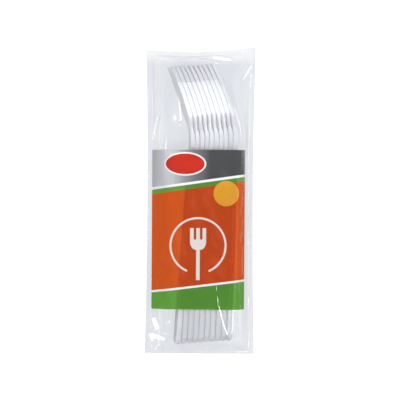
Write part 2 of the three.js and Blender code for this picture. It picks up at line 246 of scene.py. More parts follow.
def inkMaterial(name, ink):
    # ink lets some light through, tinted, so what lies behind it shows a little
    color, cover = inks[ink][:2]
    material, nodes, join = newMaterial(name)
    out = addNode(nodes, "OutputMaterial")
    filterColor = tuple(channel ** inkLook["tint"] for channel in color) + (1,)
    through = addNode(nodes, "BsdfTransparent", Color=filterColor)
    body = addNode(nodes, "BsdfPrincipled", **inkLook["body"])
    place = addNode(nodes, "TexCoord").outputs["Object"]
    grain = addNoise(nodes, join, place, inkLook["grainScale"], 4.0)
    # the grey header ink carries the painted sheen
    if ink == "grey":
        inkColor = paintedSheenColor(nodes, join, place)
    else:
        shades = [tuple(channel * shade for channel in color) + (1,) for shade in inkLook["grainShades"]]
        inkColor = mixColors(nodes, join, grain, *shades)
    join(inkColor, body.inputs["Base Color"])
    spread = inkLook["grainCover"]
    coverage = addRange(nodes, join, grain, result=(cover - spread, cover + spread))
    mixed = mixShaders(nodes, join, coverage, through, body)
    join(mixed.outputs[0], out.inputs["Surface"])
    return material


forkLook = {
    "tones": ((0.86, 0.84, 0.87, 1), (0.91, 0.895, 0.92, 1)),
    "flowScale": 60,  # of the cloudy change from one tone to the other
    # some of the light goes into the plastic
    "body": {
        "Roughness": 0.28,
        "Subsurface Weight": 0.8,
        "Subsurface Radius": (1.0, 0.9, 0.95),
        "Subsurface Scale": 6 * mm,
    },
    "poreScale": 700,
    "pores": {"Strength": 0.08, "Distance": 0.2 * mm},
}


def forkMaterial():
    material, nodes, join = newMaterial("whitePlastic")
    out = addNode(nodes, "OutputMaterial")
    body = addNode(nodes, "BsdfPrincipled", **forkLook["body"])
    place = addNode(nodes, "TexCoord").outputs["Object"]
    flow = addNoise(nodes, join, place, forkLook["flowScale"], 4.0)
    join(mixColors(nodes, join, flow, *forkLook["tones"]), body.inputs["Base Color"])
    pores = addNoise(nodes, join, place, forkLook["poreScale"], 2.0)
    addBump(nodes, join, pores, body, **forkLook["pores"])
    join(body.outputs[0], out.inputs["Surface"])
    return material


# forks: the side view is a chain of runs, and the front view is a set of half widths along it

fork = {
    "count": 10,
    # length, turn, steps, depth at the end of the run
    "runs": ((113, 0, 1, 2.8), (6, 2, 3, 2.72), (9, -18, 10, 2.52), (31, -10, 8, 2.45), (9, -5, 4, 1.3)),
    "endDepth": 3.33,
    "endRound": 1.6,
    "handleWidth": 11,
    "neckWidth": 6.6,
    "headWidth": 19,
    "headStart": 135.5,
    "shoulder": 8.5,
    "tineRoot": 143,
    "tines": 4,
    "tineRootWidth": 3.3,
    "tineTipWidth": 1.3,
    "tipSpread": 15.6,
    "tipCurve": 1.8,  # the tines keep their width until near the tips
    "recessDepth": 0.9,
    "recessFrom": 3.4,
    "recessTo": 92,
    "crease": 0.97,  # how sharp the edges stay when the mesh is rounded
    "shoulderCrease": 0.2,
    "rimThin": (0.8, 0.6, 0.3),  # how much the shoulders thin out, from their edges inwards
    "rimBlend": 1,  # the thinning starts and ends this far outside the shoulders
    "rimFull": 2,  # and is full this far above the neck
    "recessColumn": 2,  # how many columns of points lie outside the recess on each side
    "subdivide": 2,
    "tipEnd": 0.15,  # the last row is this far from the tips
    "rows": (0.2, 0.7, 1.5, 2.6, 4.2, 6.5, 14, 30, 50, 70, 86, 91, 94, 104, 112, 116, 118.5, 120.5,
             122.5, 124.5, 126.5, 127.8, 129.2, 130.6, 132, 133.4, 134.8, 136.4, 139, 142.2, 143.6,
             145.5, 149, 153, 156, 158.5, 160.5, 162.3, 163.8),
}
stack = {
    "endX": 1.9,
    "endPitch": 3.36,
    "neckPitch": 2.81,
    "step": 0.25,  # each fork lies this much further up than the one on its left
    "yaw": math.radians(2.74),
    "lean": math.radians(9.5),
    "floorGap": 0.65,  # the back film and the room over it
    "bottomRoom": 5.5,
}


def forkLine():
    stations = [(0.0, 0.0, 0.0, fork["endDepth"])]
    for length, turn, steps, depth in fork["runs"]:
        x, y, heading, fromDepth = stations[-1]
        for step in range(1, steps + 1):
            middle = heading + math.radians(turn) * (step - 0.5) / steps
            x += length / steps * math.sin(middle)
            y += length / steps * math.cos(middle)
            share = step / steps
            nextDepth = fromDepth + (depth - fromDepth) * share
            stations.append((x, y, heading + math.radians(turn) * share, nextDepth))
    return np.array(stations)


line = forkLine()
forkLength = line[-1, 1]
neckY = fork["headStart"] - fork["shoulder"]
restRise = (fork["headWidth"] - fork["handleWidth"]) / 2
restAngle = math.atan(restRise / (fork["headStart"] - fork["handleWidth"] / 2))
yawStep = (stack["endPitch"] - stack["neckPitch"]) / neckY
middleFork = (fork["count"] - 1) / 2
leanDrop = fork["endDepth"] / 2 * math.sin(stack["lean"])
stackEnd = stack["bottomRoom"] - halfLength
endCentre = stack["floorGap"] + leanDrop + fork["handleWidth"] / 2 * (1 - math.tan(restAngle))


def along(y, column):
    return np.interp(y, line[:, 1], line[:, column])


def forkX(index):
    return stack["endX"] + (index - middleFork) * stack["endPitch"]


def forkYaw(index):
    return stack["yaw"] + (middleFork - index) * yawStep


def tineShare(y):
    share = np.clip((y - fork["tineRoot"]) / (forkLength - fork["tineRoot"]), 0, 1)
    return share ** fork["tipCurve"]


def forkHalfWidth(y):
    y = np.asarray(y, dtype=float)
    radius = fork["handleWidth"] / 2
    handle = radius + (fork["neckWidth"] / 2 - radius) * np.clip((y - radius) / (neckY - radius), 0, 1)
    rounded = np.sqrt(np.clip(radius ** 2 - np.clip(radius - y, 0, radius) ** 2, 0, None))
    flare = smooth(y, neckY, fork["headStart"])
    body = np.where(y < radius, rounded, handle)
    body = body + (fork["headWidth"] / 2 - fork["neckWidth"] / 2) * flare
    return body - (fork["headWidth"] - fork["tipSpread"]) / 2 * tineShare(y)


def forkPoint(y, column):
    # one of the left, middle and right places of each tine, which also run down the whole fork
    tine, edge = divmod(column, 3)
    half = fork["headWidth"] / 2
    last = fork["tines"] - 1
    root = -half + fork["tineRootWidth"] / 2 + tine * (fork["headWidth"] - fork["tineRootWidth"]) / last
    if y <= fork["tineRoot"]:
        return (root + (edge - 1) * fork["tineRootWidth"] / 2) / half * float(forkHalfWidth(y))
    share = float(tineShare(y))
    tip = (tine / last - 0.5) * (fork["tipSpread"] - fork["tineTipWidth"])
    wide = fork["tineRootWidth"] + (fork["tineTipWidth"] - fork["tineRootWidth"]) * share
    return root + (tip - root) * share + (edge - 1) * wide / 2


def forkMesh():
    rows = list(fork["rows"]) + [forkLength - fork["tipEnd"]]
    rootRow = next(i for i, y in enumerate(rows) if y >= fork["tineRoot"])
    columns = 3 * fork["tines"]
    shoulderLow = neckY - fork["rimBlend"]
    shoulderFull = neckY + fork["rimFull"]
    shoulderHigh = fork["headStart"] + fork["rimBlend"]
    build = bmesh.new()
    verts = {}
    for r, y in enumerate(rows):
        x = along(y, 0)
        heading = along(y, 2)
        blunt = 1 - np.clip(1 - y / fork["endRound"], 0, 1) ** 2
        depth = along(y, 3) * math.sqrt(blunt)
        thinned = between(y, shoulderLow, shoulderFull, shoulderFull, shoulderHigh)
        for c in range(columns):
            across = forkPoint(y, c)
            inward = min(c, columns - 1 - c)
            sunk = fork["recessFrom"] < y < fork["recessTo"] and inward >= fork["recessColumn"]
            for side in (-1, 1):
                reach = side * depth / 2
                if inward < len(fork["rimThin"]):
                    reach *= 1 - fork["rimThin"][inward] * thinned
                if side < 0 and sunk:
                    reach += fork["recessDepth"]
                place = Vector((x + reach * math.cos(heading), y - reach * math.sin(heading), across))
                verts[r, c, side] = build.verts.new(place * mm)
    walls = set()

    def wall(a, b):
        corners = (a + (-1,), b + (-1,), b + (1,), a + (1,))
        walls.add(build.faces.new([verts[corner] for corner in corners]))

    last = len(rows) - 1
    for r in range(last):
        gapRow = r >= rootRow
        for c in range(columns - 1):
            if gapRow and c % 3 == 2:
                continue
            for side in (-1, 1):
                corners = ((r, c), (r, c + 1), (r + 1, c + 1), (r + 1, c))
                build.faces.new([verts[corner + (side,)] for corner in corners])
        for c in range(columns):
            outer = c in (0, columns - 1) or (gapRow and c % 3 != 1)
            if outer:
                wall((r, c), (r + 1, c))
    for c in range(columns - 1):
        wall((0, c), (0, c + 1))
        end = rootRow if c % 3 == 2 else last  # the gaps between the tines end at their roots
        wall((end, c), (end, c + 1))
    bmesh.ops.recalc_face_normals(build, faces=build.faces)
    sharp = build.edges.layers.float.new("crease_edge")
    for face in build.faces:
        face.smooth = True
    for edge in build.edges:
        sides = sum(face in walls for face in edge.link_faces)
        if sides == 1:
            y = sum(vert.co.y for vert in edge.verts) / 2 / mm
            edge.smooth = shoulderLow < y < shoulderHigh
            edge[sharp] = fork["shoulderCrease"] if edge.smooth else fork["crease"]
    mesh = bpy.data.meshes.new("forkMesh")
    build.to_mesh(mesh)
    build.free()
    return mesh


def makeForks():
    plain = forkMesh()
    plain.materials.append(forkMaterial())
    for index in range(fork["count"]):
        mesh = plain.copy()
        mesh.transform(
            Matrix.Translation(Vector((0, stackEnd, endCentre)) * mm)
            @ Matrix.Rotation(restAngle, 4, "X")
            @ Matrix.Translation(Vector((forkX(index), index * stack["step"], 0)) * mm)
            @ Matrix.Rotation(-forkYaw(index), 4, "Z")
            @ Matrix.Rotation(stack["lean"], 4, "Y")
        )
        piece = addObject("whiteFork%02d" % (index + 1), mesh)
        rounded = piece.modifiers.new("rounded", "SUBSURF")
        rounded.levels = fork["subdivide"]
        rounded.render_levels = fork["subdivide"]
        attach(piece, "root")
        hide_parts("fork_%02d" % (index + 1))
    print("forks", fork["count"], "faces each", len(plain.polygons))
    bpy.data.meshes.remove(plain)


makeForks()


# film: a smooth pouch over the stack, then a sheet that can't stretch settles into folds

film = {
    "waist": 1.2,
    "topDip": 2.2,
    "cornerDrop": 2,
    "sideSeal": 3.0,
    "endSeal": 1.8,
    "lowSeal": 3.0,
    "highSeal": 7.0,
    "sealWave": 0.25,  # how far the welded edges wave up and down
    # length, shift and share of the long wave, then length, slant and share of the short one
    "sealWaves": ((6.1, 0.9, 0.6), (3.4, 9, 0.4)),
    "droop": 0.15,  # fall of the side strips towards their edge
    "weld": 0.1,  # between the two layers of a welded edge
    "gap": 0.35,  # between the stack and the smooth pouch
    "span": 42,  # below the heads it rises over this length
    "drape": 1.3,  # how soon the front rises from the edge towards the stack
    "backDrape": 2.2,  # and the back falls this many times sooner
    "step": 1.6,  # spacing of the sheet's points while it settles
    "spare": 2.2,  # length of the sheet in halves of the bag, with some for its rise and fall
    "spine": 3.0,  # the rows are spaced along a line this far right of the handles' ends
    "fineRows": 900,  # points along and across that the spacing is measured with
    "fineColumns": 600,
    "sealPoints": 2,  # across each welded edge
    "slack": 0.005,  # the sheet is this much longer each way than the smooth pouch
    "labelSlack": 0.004,
    "seed": 0.1,  # height of each of the faint waves that start the folds
    "seedCount": 14,
    "seedSizes": (9, 26),
    "seedDraw": 11,
    "sag": 0.001,
    "diagonal": 0.6,  # stiffness against a pull along a diagonal
    "bend": 0.35,  # and against bending, from one point to the next but one
    "farBend": 0.2,
    "farStep": 4,
    "labelled": (-75, -60, 45, 55),  # where along the bag the label's slack holds
    "rounds": 500,
    "restLift": 0.12,  # room between the forks and the film that rests on them
    "restEnds": (1, 0.6),  # it rests on them up to this far from the handles' ends and the tips
    "backFlat": 0.3,  # the back has no folds below this height
    "backFold": 0.3,  # and above it this share of the faint waves
    "backLow": 0.05,  # over the table
    "cling": 0.95,  # how fully the taut film follows the slopes below
    "headSlope": 0.08,  # over the heads the film rises towards the tips
    "headTilt": 0.05,  # and falls to the right
    "tipsLength": 9,  # over the tips it turns down
    "tipSlope": -0.03,
    "neckLength": (26, 17),  # below the heads it is taut from here, and fully from here
    "neckSlope": 0.17,
    "headEnd": (1, 3),  # it is taut up to this far before the tips, and no more this far past them
    "headPoints": 40,
    "headSides": (-0.1, 0.02, 0.95, 1.1),  # shares of the stack's width between which it is taut
    "footTaut": (1, 5, 24, 34),  # and where it is taut over the handles, from their ends
    "footSides": (-0.02, 0.06, 0.94, 1.02),
    "footTilt": 0.02,
    "soften": 4,  # rounds of evening out, and points around a lifted one that are lifted with it
    # folds with a flat face: from x, y to x, y, width of the face, its fall to the right
    "folds": (
        (31.5, 82.3, 23.6, 69.8, 2.0, 0),
        (4, 85.4, 20.5, 82.6, 2.2, 0.35),
        (-24.8, 53, -29.8, 32.5, 1.2, 0),
        (-28.5, -68.5, -24, -79, 4.2, 0),
        (-31.5, -79.6, -19.0, -83.6, 2.8, -0.35),
    ),
    "foldEdge": 1.4,  # over this width the face runs out into the film
    "foldTaper": 7,  # a fold or crease runs out over one part in this many of its length
    "foldNear": 1.2,  # the face is laid through the points this near to its middle line
    "foldPast": 0.05,  # and this share of its length past the ends
}
# small straight folds that run up the slopes from the welded edges, leaning either way
sideCrease = {
    "count": 30,
    "height": (0.12, 0.4),
    "wide": (0.9, 1.7),
    "reach": (6, 13),
    "start": (0, 4),  # inwards from the weld
    "span": 0.93,  # share of the bag's length that has them
    "draw": 5,
}
headY = stackEnd + fork["headStart"]
spanStart = headY - film["span"]
stackRise = (fork["count"] - 1) * stack["step"]
tipsY = stackEnd + stackRise + forkLength + fork["runs"][-1][3] / 2
endRun = fork["handleWidth"] / 2
lowEnd = film["endSeal"] - halfLength


def forkMiddle(index, y):
    up = np.clip(y - stackEnd - index * stack["step"], 0, forkLength)
    return forkX(index) + up * math.tan(forkYaw(index)) + along(up, 0)


def stackSides(y):
    reach = fork["endDepth"] / 2 + film["gap"]
    lean = fork["headWidth"] / 2 * math.sin(stack["lean"])
    return forkMiddle(0, y) - reach, forkMiddle(fork["count"] - 1, y) + reach + lean


def filmSides(y):
    # on the left the film runs straight from the handles to the heads, past the hollow at the necks
    left, right = stackSides(y)
    ends = np.array((stackEnd, tipsY))
    return np.minimum(left, np.interp(y, ends, stackSides(ends)[0])), right


def stackTop(y, above=0):
    # height of the forks' upper edges; the lean lifts the heads, which reach out to the left
    up = np.clip(y - stackEnd - above, 0, forkLength)
    lift = leanDrop - along(up, 0) * math.sin(stack["lean"])
    return endCentre + up * math.tan(restAngle) + forkHalfWidth(up) + lift


def ridge(y):
    ends = np.array((stackEnd + endRun, spanStart))
    handle = np.interp(y, ends, stackTop(ends))
    heads = stackTop(np.clip(y, headY, tipsY - stackRise))
    return handle + (heads - handle) * smooth(y, spanStart, headY) + film["gap"]


def sealHeight(x, y):
    level = film["lowSeal"] + (film["highSeal"] - film["lowSeal"]) * smooth(y, -halfLength, halfLength)
    (long, shift, most), (short, slant, rest) = film["sealWaves"]
    wave = np.sin(y / long + shift) * most + np.sin(y / short + x / slant) * rest
    outside = np.clip(np.abs(x) - bagEdge(y) + film["sideSeal"], 0, None)
    return level + film["sealWave"] * wave - film["droop"] * outside


def topEdge(across):
    return halfLength - film["topDip"] * (1 - across ** 2) - film["cornerDrop"] * (1 - across) / 2


def bagEdge(y):
    return halfWidth - film["waist"] * np.cos(np.pi * y / (2 * halfLength))


def drape(share):
    return 1 - (1 - np.clip(share, 0, 1)) ** film["drape"]


def filmHeights(x, y):
    left, right = filmSides(y)
    seal = bagEdge(y) - film["sideSeal"]
    sideShare = np.minimum((x + seal) / (left + seal), (seal - x) / (seal - right))
    top = topEdge(x / bagEdge(y)) - film["endSeal"]
    endShare = np.minimum((y - lowEnd) / (stackEnd + endRun - lowEnd), (top - y) / (top - tipsY))
    low = sealHeight(x, y)
    front = low + (ridge(y) - low) * drape(sideShare) * drape(endShare)
    sooner = film["backDrape"]
    back = low * (1 - drape(sideShare * sooner) * drape(endShare * sooner))
    return front, back


def evenly(values, heights, count):
    length = np.concatenate(([0], np.cumsum(np.hypot(np.diff(values), np.diff(heights)))))
    return np.interp(np.linspace(0, length[-1], count), length, values)


def sheetPlan():
    # shares of the way along and across, spaced evenly over the front's rise and fall
    spine = np.full(film["fineRows"], stack["endX"] + film["spine"])
    reach = topEdge(spine[0] / halfWidth) - film["endSeal"]
    y = np.linspace(lowEnd, reach, film["fineRows"])
    rowCount = int(film["spare"] * halfLength / film["step"])
    rows = (evenly(y, filmHeights(spine, y)[0], rowCount) - lowEnd) / (reach - lowEnd)
    columnCount = int(film["spare"] * halfWidth / film["step"])
    sealShares = np.arange(film["sealPoints"]) / film["sealPoints"]
    across = np.linspace(-1, 1, film["fineColumns"])
    plan = []
    for share in rows:
        middle = lowEnd + share * (reach - lowEnd)
        edge = bagEdge(middle)
        x = across * (edge - film["sideSeal"])
        y = lowEnd + share * (topEdge(x / edge) - film["endSeal"] - lowEnd)
        inner = evenly(x, filmHeights(x, y)[0], columnCount)
        strip = edge - film["sideSeal"] * sealShares
        full = np.concatenate((-strip, inner, strip[::-1]))
        plan.append((full, lowEnd + share * (topEdge(full / edge) - film["endSeal"] - lowEnd)))
    plan = np.array(plan).transpose(0, 2, 1)
    outside = film["endSeal"] * (1 - sealShares)
    bottom = np.array([plan[0] * (1, 0) + (0, lowEnd - down) for down in outside])
    top = np.array([plan[-1] + (0, up) for up in outside[::-1]])
    return np.concatenate((bottom, plan, top))


def seedWaves(x, y):
    draws = np.random.default_rng(film["seedDraw"])
    total = np.zeros_like(x)
    for _ in range(film["seedCount"]):
        turn = draws.uniform(0, np.pi)
        size = draws.uniform(*film["seedSizes"])
        shift = draws.uniform(0, 2 * np.pi)
        total += np.sin((x * np.cos(turn) + y * np.sin(turn)) * 2 * np.pi / size + shift)
    return film["seed"] * total


def sideCreases():
    draws = np.random.default_rng(sideCrease["draw"])
    found = []
    for _ in range(sideCrease["count"]):
        side = draws.choice((-1, 1))
        y = draws.uniform(-halfLength, halfLength) * sideCrease["span"]
        reach = draws.uniform(*sideCrease["reach"])
        lean = draws.uniform(-1, 1) * reach
        start = bagEdge(y) - film["sideSeal"] - draws.uniform(*sideCrease["start"])
        height = draws.uniform(*sideCrease["height"]) * draws.choice((-1, 1))
        wide = draws.uniform(*sideCrease["wide"])
        found.append((side * start, y, side * (start - reach), y + lean, height, wide))
    return found


def lineShares(points, fromX, fromY, toX, toY):
    # share of the way along a line, the distance from it, and how full a fold along it is there
    length = math.hypot(toX - fromX, toY - fromY)
    aimX, aimY = (toX - fromX) / length, (toY - fromY) / length
    x, y = points[..., 0] - fromX, points[..., 1] - fromY
    share = (x * aimX + y * aimY) / length
    taper = np.clip(np.minimum(share, 1 - share) * film["foldTaper"], 0, 1)
    return share, x * aimY - y * aimX, taper


def addCreases(points):
    for *ends, height, wide in sideCreases():
        _, aside, taper = lineShares(points, *ends)
        points[..., 2] += height * taper * np.clip(1 - np.abs(aside) / wide, 0, 1)


def addFolds(points):
    past = film["foldPast"]
    for *ends, wide, fall in film["folds"]:
        share, aside, taper = lineShares(points, *ends)
        near = (np.abs(aside) < film["foldNear"]) & (share > -past) & (share < 1 + past)
        middle = np.polyval(np.polyfit(share[near], points[near][:, 2], 1), share)
        right = aside * np.sign(ends[3] - ends[1])
        face = middle - fall * right
        flat = taper * (1 - smooth(np.abs(aside), wide / 2, wide / 2 + film["foldEdge"]))
        points[..., 2] += flat * (face - points[..., 2])


def sheetLinks(points, weights):
    # neighbours, diagonals and, against bending, points further off
    rowCount, columnCount = points.shape[:2]
    labelled = between(points[..., 1], *film["labelled"])
    slack = film["slack"] + (film["labelSlack"] - film["slack"]) * labelled
    far = film["farStep"]
    # how far down and over to the other point, and how stiff the link to it is
    kinds = (
        (0, 1, 1.0),
        (1, 0, 1.0),
        (1, 1, film["diagonal"]),
        (1, -1, film["diagonal"]),
        (0, 2, film["bend"]),
        (2, 0, film["bend"]),
        (0, far, film["farBend"]),
        (far, 0, film["farBend"]),
    )
    found = []
    for down, over, stiff in kinds:
        stride = max(down, abs(over))
        for half in (0, 1):  # no point is in two links of one half
            rows = np.arange(rowCount - down)
            columns = np.arange(max(0, -over), columnCount - max(0, over))
            if down:
                rows = rows[rows // stride % 2 == half]
            else:
                columns = columns[columns // stride % 2 == half]
            first = np.ix_(rows, columns)
            second = np.ix_(rows + down, columns + over)
            rest = np.linalg.norm(points[second] - points[first], axis=-1) * (1 + slack[first])
            total = np.maximum(weights[first] + weights[second], 1e-6)
            shares = [(weights[end] / total)[..., None] for end in (first, second)]
            found.append((first, second, rest, stiff, shares))
    return found


def settle(points, loose, contact):
    weights = loose.astype(float)
    chain = sheetLinks(points, weights)
    p = points.copy()
    p[..., 2] += seedWaves(p[..., 0], p[..., 1]) * weights
    for _ in range(film["rounds"]):
        p[..., 2] -= film["sag"] * weights
        for first, second, rest, stiff, shares in chain:
            apart = p[second] - p[first]
            size = np.linalg.norm(apart, axis=-1)
            pull = apart * (stiff * (size - rest) / size)[..., None]
            p[first] += shares[0] * pull
            p[second] -= shares[1] * pull
        contact(p)
    return p


def finer(grid):
    # a smooth curve through every row and column, with a new point in each gap
    for _ in range(2):
        padded = np.concatenate((2 * grid[:1] - grid[1:2], grid, 2 * grid[-1:] - grid[-2:-1]))
        full = np.empty((2 * len(grid) - 1,) + grid.shape[1:])
        full[::2] = grid
        full[1::2] = (9 * (padded[1:-2] + padded[2:-1]) - padded[:-3] - padded[3:]) / 16
        grid = full.swapaxes(0, 1)
    return grid


def blurred(field):
    wide = np.pad(field, 1, mode="edge")
    return (wide[:-2, 1:-1] + wide[2:, 1:-1] + wide[1:-1, :-2] + wide[1:-1, 2:]) / 4


def soften(points, edge):
    # evens out the heights, except along the welded edges
    inner = (slice(edge, -edge), slice(edge, -edge))
    for _ in range(film["soften"]):
        points[inner + (2,)] = blurred(points[..., 2])[inner]


def restOnForks(p):
    # the film is lifted off the forks, and what lies around is lifted a little too
    x, y = p[..., 0], p[..., 1]
    left, right = stackSides(y)
    above = np.clip((x - left) / (right - left), 0, 1) * stackRise
    handleRoom, tipRoom = film["restEnds"]
    lowest = stackEnd + above + handleRoom
    highest = tipsY - stackRise + above - tipRoom
    over = (x > left) & (x < right) & (y > lowest) & (y < highest)
    lift = np.where(over, np.maximum(stackTop(y, above) + film["restLift"] - p[..., 2], 0), 0)
    for _ in range(film["soften"]):
        lift = np.maximum(lift, blurred(lift))
    p[..., 2] += lift


def clingToForks(p):
    # over the heads and over the handles' ends the film is taut
    x, y = p[..., 0], p[..., 1]
    left, right = stackSides(y)
    share = (x - left) / (right - left)
    up = y - np.clip(share, 0, 1) * stackRise - headY
    headLength = tipsY - stackRise - headY
    bend = headLength - film["tipsLength"]
    steps = np.linspace(0, bend, film["headPoints"])
    touch = np.max(stackTop(headY + steps) - film["headSlope"] * steps)
    rise = film["headSlope"] * np.clip(up, 0, bend) + film["tipSlope"] * np.maximum(up - bend, 0)
    rise += film["neckSlope"] * np.minimum(up, 0)
    heads = touch + film["gap"] + rise + film["headTilt"] * (right - x)
    lowest, low = film["neckLength"]
    before, past = film["headEnd"]
    overHeads = between(up, -lowest, -low, headLength - before, headLength + past)
    overHeads *= between(share, *film["headSides"])
    p[..., 2] += film["cling"] * overHeads * (heads - p[..., 2])
    handles = ridge(y) + film["footTilt"] * (x - left)
    overHandles = between(share, *film["footSides"]) * between(y - stackEnd, *film["footTaut"])
    p[..., 2] += film["cling"] * overHandles * (handles - p[..., 2])


def pouchMesh(front, back):
    # one closed mesh: the back shares the front's outer edge
    rows, columns = front.shape[:2]
    index = np.arange(rows * columns).reshape(rows, columns)
    under = index.copy()
    inner = under[1:-1, 1:-1]
    inner[:] = rows * columns + np.arange(inner.size).reshape(inner.shape)

    def quads(grid):
        corners = (grid[:-1, :-1], grid[:-1, 1:], grid[1:, 1:], grid[1:, :-1])
        return np.stack(corners, axis=-1).reshape(-1, 4)

    points = np.concatenate((front.reshape(-1, 3), back[1:-1, 1:-1].reshape(-1, 3)))
    faces = np.concatenate((quads(index), quads(under)[:, ::-1]))
    mesh = bpy.data.meshes.new("filmPouch")
    mesh.from_pydata((points * mm).tolist(), [], faces.tolist())
    mesh.polygons.foreach_set("use_smooth", [True] * len(mesh.polygons))
    behind = np.arange(len(faces)) >= len(faces) // 2
    mesh.polygons.foreach_set("material_index", behind.astype(np.int32))
    mesh.materials.append(filmMaterial("clearFilm", streakColor))
    # the back faces carry the painted shade
    mesh.materials.append(filmMaterial("paintedShadeFilmBack", paintedShadeBackColor))
    return mesh


# pinched folds, with a wide face that falls to the right and a narrow one
crease = {
    # places along each, and the width of its wide face there
    "paths": (
        (
            (9.6, -50, 0.05), (10.7, -60.5, 0.9), (13.5, -72.5, 0.9), (15.2, -77, 0.9),
            (17.4, -82.3, 0.9), (18, -84, 0.05),
        ),
        ((-13.3, 62, 0.05), (-12.9, 57.3, 0.8), (-12.3, 47, 0.9), (-12.2, 43.5, 0.05)),
    ),
    "fall": 0.32,  # of the wide face
    "narrow": 0.3,
    "steps": 10,  # from one place to the next
    "lift": 0.08,
    "even": 7,  # steps over which its height is evened out
}


def creaseLines():
    # the middle of each wide face, from place to place
    found = []
    for path in crease["paths"]:
        places = [(x + wide / 2, y) for x, y, wide in path]
        found += [start + end for start, end in zip(places, places[1:])]
    return found


def addCrease(build, surface, path):
    last = len(path) - 1
    shares = np.linspace(0, last, last * crease["steps"] + 1)
    x, y, wide = (np.interp(shares, np.arange(last + 1), column) for column in np.array(path).T)

    def heights(across):
        found = [dropOn(surface, *place)[0].z / mm for place in zip(across, y)]
        padded = np.pad(found, crease["even"] // 2, mode="edge")
        return np.convolve(padded, np.ones(crease["even"]) / crease["even"], "valid") + crease["lift"]

    right = x + wide
    foot = heights(right)
    left = x - crease["narrow"]
    rows = [
        [build.verts.new(Vector(point) * mm) for point in zip(across, y, level)]
        for across, level in ((left, heights(left)), (x, foot + crease["fall"] * wide), (right, foot))
    ]
    for near, far in zip(rows, rows[1:]):
        for step in range(len(y) - 1):
            face = build.faces.new((near[step + 1], far[step + 1], far[step], near[step]))
            face.normal_update()
            if face.normal.z < 0:
                face.normal_flip()


def pinchFilm(mesh):
    build = bmesh.new()
    build.from_mesh(mesh)
    surface = BVHTree.FromBMesh(build)
    for path in crease["paths"]:
        addCrease(build, surface, path)
    build.to_mesh(mesh)
    build.free()


def makeFilm():
    plan = sheetPlan()
    edge = film["sealPoints"] + 1
    smoothFront = np.dstack((plan, filmHeights(plan[..., 0], plan[..., 1])[0] + film["weld"]))
    loose = np.zeros(plan.shape[:2], dtype=bool)
    loose[edge:-edge, edge:-edge] = True
    soften(smoothFront, edge)
    front = finer(settle(smoothFront, loose, restOnForks))
    addCreases(front)
    restOnForks(front)
    clingToForks(front)
    soften(front, 2 * edge)
    addFolds(front)
    plan = finer(plan)
    low = filmHeights(plan[..., 0], plan[..., 1])[1]
    folds = seedWaves(plan[..., 1], plan[..., 0]) * np.clip(low - film["backFlat"], 0, 1)
    under = np.minimum(low + film["backFold"] * folds, front[..., 2] - film["weld"])
    back = np.dstack((plan, np.maximum(under, film["backLow"])))
    mesh = pouchMesh(front, back)
    pinchFilm(mesh)
    piece = addObject("filmPouch", mesh)
    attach(piece, "root")
    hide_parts("film_bag")
    print("film", front.shape, "faces", len(mesh.polygons))
    return BVHTree.FromObject(piece, bpy.context.evaluated_depsgraph_get())


filmSurface = makeFilm()

# label: fields and marks of ink that lie on the film

label = {
    "leftRoom": 3.7,
    "rightRoom": 5.9,
    "footRoom": 26.5,
    "length": 95,
    "header": (22.4, 14.4),  # depth at its left and right side
    "whiteBand": 1.5,
    "greenBand": 2.6,
    "footer": (11, 18),  # height at its left and right side
    "footerLine": 1.3,
    "oval": (25, 14),
    "ovalRim": 0.9,
    "ovalRoom": (7.3, 1.4),  # from the label's left and top
    "disc": 15.2,
    "discRoom": (3.5, 18.3),  # from its right and top
    "ring": 34,
    "ringWide": 1.2,
    "ringRoom": 21,  # from its foot
    "ringOpening": math.radians(46),
    "outlineSteps": 72,  # of an oval
    "ringSteps": 80,
    "cell": 0.9,  # the ink is cut into cells this big, to follow the film
    "lift": 0.05,  # of each layer of ink
}
# a small upright fork in the ring
mark = {
    "length": 31,
    "head": 9.6,
    "stem": 2.2,
    "drop": 5,  # its middle is this far below the ring's
    "neck": 0.08,  # share of its length from its middle to the neck
    "tine": 0.22,  # share of its length that the tines take up
    "palm": 0.2,  # from the tines to the shoulder, as a share of the tines
    "steps": 9,  # from the neck to the shoulder
}
# colour, cover and slot of each
inks = {
    "grey": ((0.100, 0.104, 0.112), 0.86, "ink_grey"),
    "white": ((0.86, 0.86, 0.86), 0.9, "ink_white"),
    "green": ((0.135, 0.39, 0.05), 0.5, "ink_green"),
    "orange": ((0.75, 0.108, 0.01), 0.44, "ink_orange"),
    "red": ((0.52, 0.018, 0.003), 0.94, "ink_red"),
    "amber": ((0.69, 0.31, 0.014), 0.92, "ink_amber"),
    "cream": ((0.85, 0.8, 0.73), 0.8, "ink_cream"),
}
panelLeft = label["leftRoom"] - halfWidth
panelRight = halfWidth - label["rightRoom"]
panelBottom = label["footRoom"] - halfLength
panelTop = panelBottom + label["length"]


def slantField(upper, lower):
    return [(panelLeft, lower[0]), (panelRight, lower[1]), (panelRight, upper[1]), (panelLeft, upper[0])]


def arc(x, y, width, height, turns):
    return [(x + width / 2 * math.cos(turn), y + height / 2 * math.sin(turn)) for turn in turns]


def ovalOutline(x, y, width, height):
    turns = np.linspace(0, 2 * np.pi, label["outlineSteps"], endpoint=False)
    return arc(x, y, width, height, turns)


def ringOutline(x, y):
    half = label["ringOpening"] / 2
    turns = np.linspace(half - np.pi / 2, 1.5 * np.pi - half, label["ringSteps"])
    outer = label["ring"]
    inner = outer - 2 * label["ringWide"]
    return arc(x, y, outer, outer, turns) + arc(x, y, inner, inner, turns[::-1])


